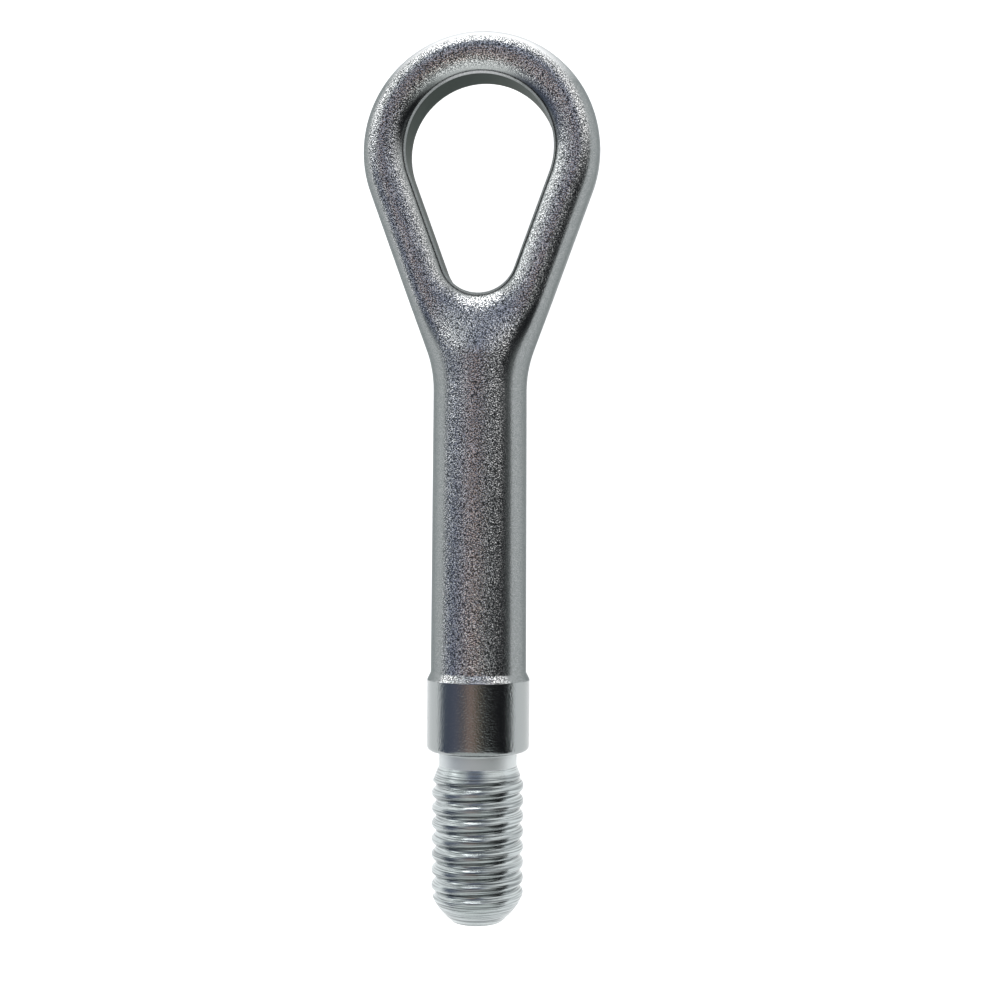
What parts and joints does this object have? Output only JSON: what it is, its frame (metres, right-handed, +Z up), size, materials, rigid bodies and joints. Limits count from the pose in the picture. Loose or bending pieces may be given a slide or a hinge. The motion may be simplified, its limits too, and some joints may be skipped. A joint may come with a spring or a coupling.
{
  "type": "tow eye",
  "caption": "Screw-in tow eye: forged teardrop eye on a round shank, with a turned collar, a relief neck and a coarse rolled thread.",
  "frame": {"origin": "on the thread's axis, in the plane of the shoulder where the collar ends and the neck begins", "axes": "+Y towards the eye, +Z up as the part lies at rest, +X to its right; the thread's axis lies in the YZ plane and dips 0.82 degrees towards the eye, which is level from side to side"},
  "size_m": [0.0496, 0.1851, 0.0216],
  "materials": {
    "zinc_plated_steel": "bright zinc plate, over shot-blasted forging on the eye and shank and over turned steel on the collar and neck"
  },
  "bodies": {
    "root": {"tow_eye": "zinc_plated_steel"}
  },
  "joints": []
}
